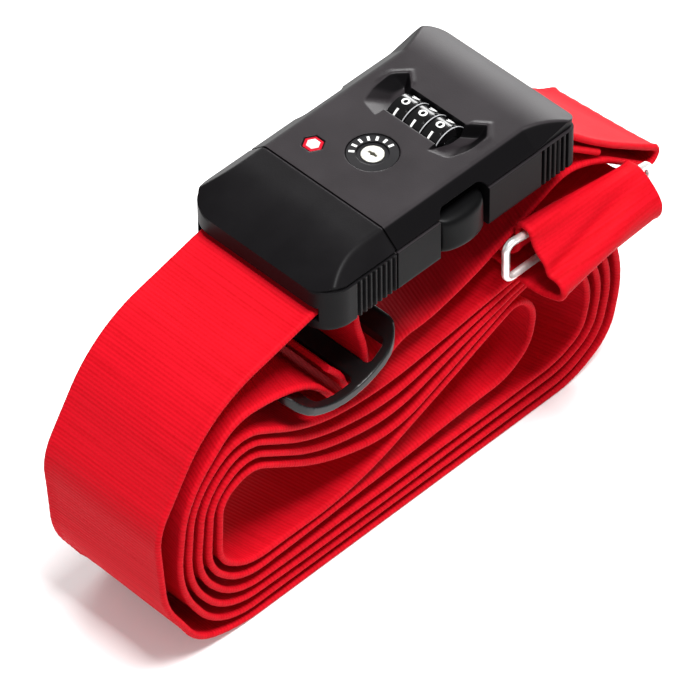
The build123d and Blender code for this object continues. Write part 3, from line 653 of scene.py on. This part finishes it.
def wrap(name, stations, near, far, dents, wall_dent, look, spigot=0.0):
    """A closed shell wound round the X axis through the given stations.

    The near and far functions give its half widths and the dents its hollows in top and walls. A spigot
    is a slightly smaller lip that reaches past the first station.
    """
    across = np.linspace(0, 1, 216)
    up = np.linspace(0, 1, 20)
    rings = []
    for x in stations:
        w_near, w_far = near(x), far(x)
        y_top = w_far - LEDGE - across * (w_near + w_far - 2 * LEDGE)
        full = np.full_like(y_top, x)
        z_top = surface(full, y_top) - dents(full, y_top)
        walls = []
        for w, side in ((w_far, 1), (w_near, -1)):
            z = BOTTOM + (min(LIP, z_top[0 if side > 0 else -1] - 0.3) - BOTTOM) * up
            y = w - wall_dent(x, z)
            round_foot = FOOT_ROUND * smooth_step(FOOT_ROUND, 0, z - BOTTOM)
            y = side * (y - round_foot)
            walls.append(np.stack([y, z], axis=1))
        far_wall, near_wall = walls
        notch_far = [(w_far - LEDGE - NOTCH_IN, far_wall[-1][1] + NOTCH_UP)]
        notch_near = [(-w_near + LEDGE + NOTCH_IN, near_wall[-1][1] + NOTCH_UP)]
        top = np.stack([y_top, z_top], axis=1)
        bottom = [near_wall[0] + (far_wall[0] - near_wall[0]) * t for t in (0.25, 0.5, 0.75)]
        ring = np.concatenate([far_wall, notch_far, top, notch_near, near_wall[::-1], bottom])
        rings.append(np.column_stack([np.full(len(ring), x), ring]))
    if spigot:
        middle = np.array([0, 0, (TOP + BOTTOM) / 2])
        small = middle + (rings[0] - middle) * (1, 0.98, 0.94)
        rings = [small - (spigot, 0, 0), small] + rings
    points, faces = loft(rings)
    piece = new_piece(name, points, faces, look)
    piece.data.set_sharp_from_angle(angle=math.radians(50))
    return piece


def corner(x, end, radius):
    """Half width of the buckle at x beside a rounded corner at one end."""
    away = np.clip(abs(end - x), 0, radius)
    return HALF_WIDTH - (radius - math.sqrt(radius**2 - (radius - away) ** 2))


def stations_between(low, high, step, low_radius=0.0, high_radius=0.0):
    """Places along X, closer together where a plan corner turns."""
    places = list(np.linspace(low, high, int((high - low) / step) + 1))
    for end, radius, sign in ((low, low_radius, 1), (high, high_radius, -1)):
        if radius:
            places += [end + sign * radius * (1 - math.cos(math.radians(a))) for a in range(3, 34, 5)]
    return sorted(set(round(p, 4) for p in places))


housing_seam, cap_seam = shell_low.x + SHADOW_GAP / 2, cap_high.x - SHADOW_GAP / 2
housing_shell = wrap(
    "housing_shell",
    stations_between(housing_seam, HOUSING_END, 0.27, 0, 8.0),
    lambda x: corner(x, HOUSING_END, 3.2),
    lambda x: corner(x, HOUSING_END, 8.0),
    housing_dents,
    lambda x, z: grooves(x, z, 62.8, 73.5, 1.2),
    housing_black,
    SHADOW_GAP - 0.05,
)
cap_shell = wrap(
    "cap_shell",
    stations_between(CAP_END, cap_seam, 0.3, 12.0, 0),
    lambda x: corner(x, CAP_END, 9.0),
    lambda x: corner(x, CAP_END, 12.0),
    no_dents,
    lambda x, z: grooves(x, z, -16.2, -1.5, 1.3),
    cap_black,
)


def cutter(low, high, radius=0, axis=0):
    """A box with rounded edges along one axis, used to cut an opening."""
    bpy.ops.mesh.primitive_cube_add()
    box = bpy.context.object
    low, high = Vector(low) * MM, Vector(high) * MM
    box.location = (low + high) / 2
    box.scale = (high - low) / 2
    bpy.ops.object.transform_apply(location=True, rotation=False, scale=True)
    if radius:
        for edge in box.data.edges:
            a, b = (box.data.vertices[i].co for i in edge.vertices)
            along = b - a
            edge.select = abs(along[axis]) > along.length * 0.9
        weights = box.data.attributes.new("bevel_weight_edge", "FLOAT", "EDGE")
        weights.data.foreach_set("value", [1.0 if e.select else 0.0 for e in box.data.edges])
        bevel = box.modifiers.new("round", "BEVEL")
        bevel.limit_method = "WEIGHT"
        bevel.width = radius * MM
        bevel.segments = 6
        apply_modifiers(box)
    return box


def cut(piece, *cutters):
    """Cuts openings out of a piece and removes the cutters."""
    for box in cutters:
        hole = piece.modifiers.new("cut", "BOOLEAN")
        hole.operation = "DIFFERENCE"
        hole.solver = "EXACT"
        hole.object = box
        apply_modifiers(piece)
        bpy.data.objects.remove(box)


# openings as their lowest and highest corners: button windows, strap slots and the dials' room
window_low, window_high = BUTTON_X - WINDOW_HALF, BUTTON_X + WINDOW_HALF
for side in (-1, 1):
    window = (window_low, side * 29 - 6, BOTTOM - 5), (window_high, side * 29 + 6, TOP - 3.4)
    cut(housing_shell, cutter(*window, 3.6, 1))
cap_slot = (CAP_END - 5, -26.3, 109.6), (CAP_END + 7, 26.3, 114.8)
cut(cap_shell, cutter(*cap_slot))
housing_slot = (HOUSING_END - 8, -26.5, BOTTOM - 4), (HOUSING_END + 4, 26.5, 118)
cut(housing_shell, cutter(*housing_slot))
room = DIAL_RADIUS + 0.5
dial_room = (DIAL_X - room, -11.1, DIAL_Z - room), (DIAL_X + room, 11.1, DIAL_Z + 3.2)
cut(housing_shell, cutter(*dial_room, 2.5, 1))

for shell, body, replaced in (
    (housing_shell, "housing", ("housing_upper_shell", "housing_lower_cover")),
    (cap_shell, "male_half", ("cap_upper", "cap_lower")),
):
    shell.data.set_sharp_from_angle(angle=math.radians(50))
    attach(shell, body)
    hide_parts(*replaced)


# ------------------------------------------------------------------ release buttons
def button_piece(name, side, body, replaced):
    """A pillow-faced release button that fills its window."""
    z_low, z_high = BOTTOM + 0.4, BUTTON_TOP
    u = np.sin(np.linspace(-1, 1, 61) * math.pi / 2)
    v = np.sin(np.linspace(-1, 1, 49) * math.pi / 2)
    uu, vv = np.meshgrid(u, v, indexing="ij")
    edge = (np.clip(1 - np.abs(uu) ** 9, 0, 1) * np.clip(1 - np.abs(vv) ** 8, 0, 1)) ** 0.45
    bulge = BUTTON_BULGE * (1 - uu**2) * (0.8 - 0.2 * vv)
    y = side * (BUTTON_RIM + BUTTON_RISE * edge + bulge * edge)
    x = BUTTON_X + BUTTON_HALF * uu
    z = (z_low + z_high) / 2 + (z_high - z_low) / 2 * vv
    front = np.stack([x, y, z], axis=-1).reshape(-1, 3)
    back = np.stack([x, np.full_like(y, side * BUTTON_BACK), z], axis=-1).reshape(-1, 3)
    rows, columns = uu.shape
    faces = []
    for i in range(rows - 1):
        for j in range(columns - 1):
            a = i * columns + j
            quad = (a, a + columns, a + columns + 1, a + 1)
            faces.append(quad if side < 0 else quad[::-1])
            behind = tuple(k + rows * columns for k in quad)
            faces.append(behind[::-1] if side < 0 else behind)
    rim = [i * columns for i in range(rows)]
    rim += [(rows - 1) * columns + j for j in range(1, columns)]
    rim += [i * columns + columns - 1 for i in range(rows - 2, -1, -1)]
    rim += list(range(columns - 2, 0, -1))
    offset = rows * columns
    for a, b in zip(rim, rim[1:] + rim[:1]):
        quad = (a, b, b + offset, a + offset)
        faces.append(quad if side < 0 else quad[::-1])
    piece = new_piece(name, np.concatenate([front, back]), faces, button_black, body)
    piece.data.set_sharp_from_angle(angle=math.radians(50))
    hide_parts(replaced)


button_piece("button_near", -1, "button_near", "release_button_near")
button_piece("button_far", 1, "button_far", "release_button_far")


# ------------------------------------------------------------------ digits, key marks and badge
DIGIT_SIZE = 5.0
DIGIT_WIDEN = 1.2
DIGIT_FLATTEN = 0.72
DIGIT_RADIUS = DIAL_RADIUS - 0.36
MARK_COUNT = 7
MARK_FIRST = 128
MARK_APART = 24
MARK_SUNK = 0.42
MARK_CORNERS = ((5.5, -0.42), (7.3, -0.42), (7.3, 0.42), (5.5, 0.42))
MARK_HEIGHT = 0.14
BOX_FACES = ((3, 2, 1, 0), (4, 5, 6, 7), (0, 1, 5, 4), (1, 2, 6, 5), (2, 3, 7, 6), (3, 0, 4, 7))


def flat_text(body_text, size):
    """Outline of a character as a mesh lying in the XY plane, centred, in millimetres."""
    curve = bpy.data.curves.new("character", "FONT")
    curve.body = body_text
    curve.size = size
    curve.align_x = "CENTER"
    curve.align_y = "CENTER"
    curve.offset = 0.06
    curve.extrude = 0.12
    curve.resolution_u = 4
    holder = bpy.data.objects.new("character", curve)
    bpy.context.scene.collection.objects.link(holder)
    view = bpy.context.evaluated_depsgraph_get()
    mesh = bpy.data.meshes.new_from_object(holder.evaluated_get(view))
    bpy.data.objects.remove(holder)
    shape = bmesh.new()
    shape.from_mesh(mesh)
    # narrow bands let the character bend round its dial
    for level in np.arange(-0.45, 0.46, 0.075) * size:
        everything = shape.verts[:] + shape.edges[:] + shape.faces[:]
        bmesh.ops.bisect_plane(shape, geom=everything, plane_co=(0, level, 0), plane_no=(0, 1, 0))
    shape.verts.index_update()
    points = np.array([v.co for v in shape.verts])
    faces = [tuple(v.index for v in face.verts) for face in shape.faces]
    shape.free()
    return points, faces


def rim_line(y):
    """Slim rounded pale bead round the edge of a dial: a painted highlight for the glint on the dial's rim.
    """
    rings = []
    for k in range(120):
        turn = math.radians(3 * k)
        ring = []
        for step in range(8):
            a = math.radians(45 * step)
            reach = DIAL_RADIUS - 0.05 + 0.14 * math.cos(a)
            x, z = DIAL_X + reach * math.cos(turn), DIAL_Z + reach * math.sin(turn)
            ring.append((x, y + 0.18 * math.sin(a), z))
        rings.append(np.array(ring))
    return loft(rings + rings[:1], close_ends=False)


for index in range(3):
    low, high = (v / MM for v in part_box(f"dial_wheel_{index + 1}"))
    # the digits stand a little to the far side of each dial's middle
    middle = low.y * 0.42 + high.y * 0.58
    points, faces = [], []
    for digit in range(10):
        flat, polygons = flat_text(str(digit), DIGIT_SIZE)
        start = sum(len(p) for p in points)
        angle = math.radians(36 * digit) - flat[:, 1] * DIGIT_FLATTEN / DIGIT_RADIUS
        reach = DIGIT_RADIUS + flat[:, 2]
        x = DIAL_X - reach * np.sin(angle)
        z = DIAL_Z + reach * np.cos(angle)
        y = middle - flat[:, 0] * DIGIT_WIDEN
        points.append(np.stack([x, y, z], axis=1))
        faces += [tuple(k + start for k in p) for p in polygons]
    body = f"dial_{index + 1}"
    points = np.concatenate(points)
    digits = new_piece(f"dial_digits_{index + 1}", points, faces, digit_white, body, smooth=False)
    # a pale bead round each dial's edge, a painted highlight
    rim = new_piece(f"dial_rim_highlight_{index + 1}", *rim_line(low.y + 0.12), rim_highlight_grey, body)


def ring_of_marks():
    """Short raised marks in an arc round the key plug."""
    points, faces = [], []
    for index in range(MARK_COUNT):
        angle = math.radians(MARK_FIRST - index * MARK_APART)
        outward = np.array([math.cos(angle), math.sin(angle), 0])
        sideways = np.array([-math.sin(angle), math.cos(angle), 0])
        base = np.array([KEY_X, 0, TOP - MARK_SUNK])
        start = len(points)
        for height in (0, MARK_HEIGHT):
            for a, b in MARK_CORNERS:
                points.append(base + outward * a + sideways * b + np.array([0, 0, height]))
        faces += [tuple(start + k for k in face) for face in BOX_FACES]
    return np.array(points), faces


marks = new_piece("key_marks", *ring_of_marks(), digit_white, "housing", smooth=False)


def hexagon_rings(sizes):
    """Points and faces of stacked hexagons given as (radius, height)."""
    angles = [math.radians(60 * k + 30) for k in range(6)]
    rings = []
    for radius, height in sizes:
        ring = [(BADGE[0] + radius * math.cos(a), BADGE[1] + radius * math.sin(a), height) for a in angles]
        rings.append(np.array(ring))
    return loft(rings)


badge_top = badge_high.z
badge_rings = hexagon_rings([(2.3, badge_top - 0.1), (2.3, badge_top + 0.1), (2.05, badge_top + 0.25)])
badge_face = new_piece("badge_face", *badge_rings, badge_pale, "housing", smooth=False)


# ------------------------------------------------------------------ strap adjuster
def softened(name, node, voxel, rounds, look, body):
    """A copy of a CAD node with its edges rounded as a moulding's are."""
    piece = bpy.data.objects.new(name, nodes[node].data.copy())
    bpy.context.scene.collection.objects.link(piece)
    remesh = piece.modifiers.new("remesh", "REMESH")
    remesh.mode = "VOXEL"
    remesh.voxel_size = voxel * MM
    soften = piece.modifiers.new("soften", "SMOOTH")
    soften.factor = 0.5
    soften.iterations = rounds
    apply_modifiers(piece)
    piece.data.materials.clear()
    piece.data.materials.append(look)
    piece.data.shade_smooth()
    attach(piece, body)
    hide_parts(node)
    return piece


adjuster = softened("adjuster_frame", "strap_adjuster", 0.4, 5, adjuster_black, "housing")


# ------------------------------------------------------------------ floor, light and camera
def backdrop():
    """Pale, faintly glowing floor just under the object."""
    floor_material, _, shader = material("studio_floor", (0.8, 0.8, 0.8), 0.8)
    shader.inputs["Emission Color"].default_value = (1, 1, 1, 1)
    shader.inputs["Emission Strength"].default_value = 0.15
    bpy.ops.mesh.primitive_plane_add(size=6, location=(0, 0, -0.0002))
    floor = bpy.context.object
    floor.name = "floor"
    floor.data.materials.append(floor_material)
    floor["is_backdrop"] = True


def area_light(name, place, target, size, power):
    """A soft rectangular lamp aimed at a point, in metres and watts."""
    lamp = bpy.data.lights.new(name, "AREA")
    lamp.shape = "RECTANGLE"
    lamp.size, lamp.size_y = size
    lamp.energy = power
    holder = bpy.data.objects.new(name, lamp)
    bpy.context.scene.collection.objects.link(holder)
    holder.location = place
    holder.rotation_euler = (Vector(target) - Vector(place)).to_track_quat("-Z", "Y").to_euler()


backdrop()
AIM = Vector((0.0108, 0, 0.0507))
area_light("key_light", (0.02, -0.32, 1.52), AIM, (0.6, 0.6), 41)
area_light("end_light", (1.3, 0.8, 0.55), AIM, (0.9, 0.45), 20)

world = bpy.data.worlds.new("studio")
bpy.context.scene.world = world
world.use_nodes = True
surroundings = world.node_tree.nodes["Background"]
surroundings.inputs["Color"].default_value = (1, 1, 1, 1)
surroundings.inputs["Strength"].default_value = 0.48

# the view that was fitted to the buckle's edges in the photo
AZIMUTH, ELEVATION, ROLL = math.radians(315.4), math.radians(45.4), math.radians(-0.6)
DISTANCE = 2.0
camera = bpy.data.cameras.new("camera")
camera.sensor_width = 36
camera.lens = 333.257143
holder = bpy.data.objects.new("camera", camera)
bpy.context.scene.collection.objects.link(holder)
level = math.cos(ELEVATION)
back = Vector((math.sin(AZIMUTH) * level, -math.cos(AZIMUTH) * level, math.sin(ELEVATION)))
holder.location = AIM + back * DISTANCE
turn = (-back).to_track_quat("-Z", "Y")
turn.rotate(Quaternion(back, ROLL))
holder.rotation_mode = "QUATERNION"
holder.rotation_quaternion = turn
bpy.context.scene.camera = holder
bpy.context.scene.view_settings.view_transform = "Standard"

low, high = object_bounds()
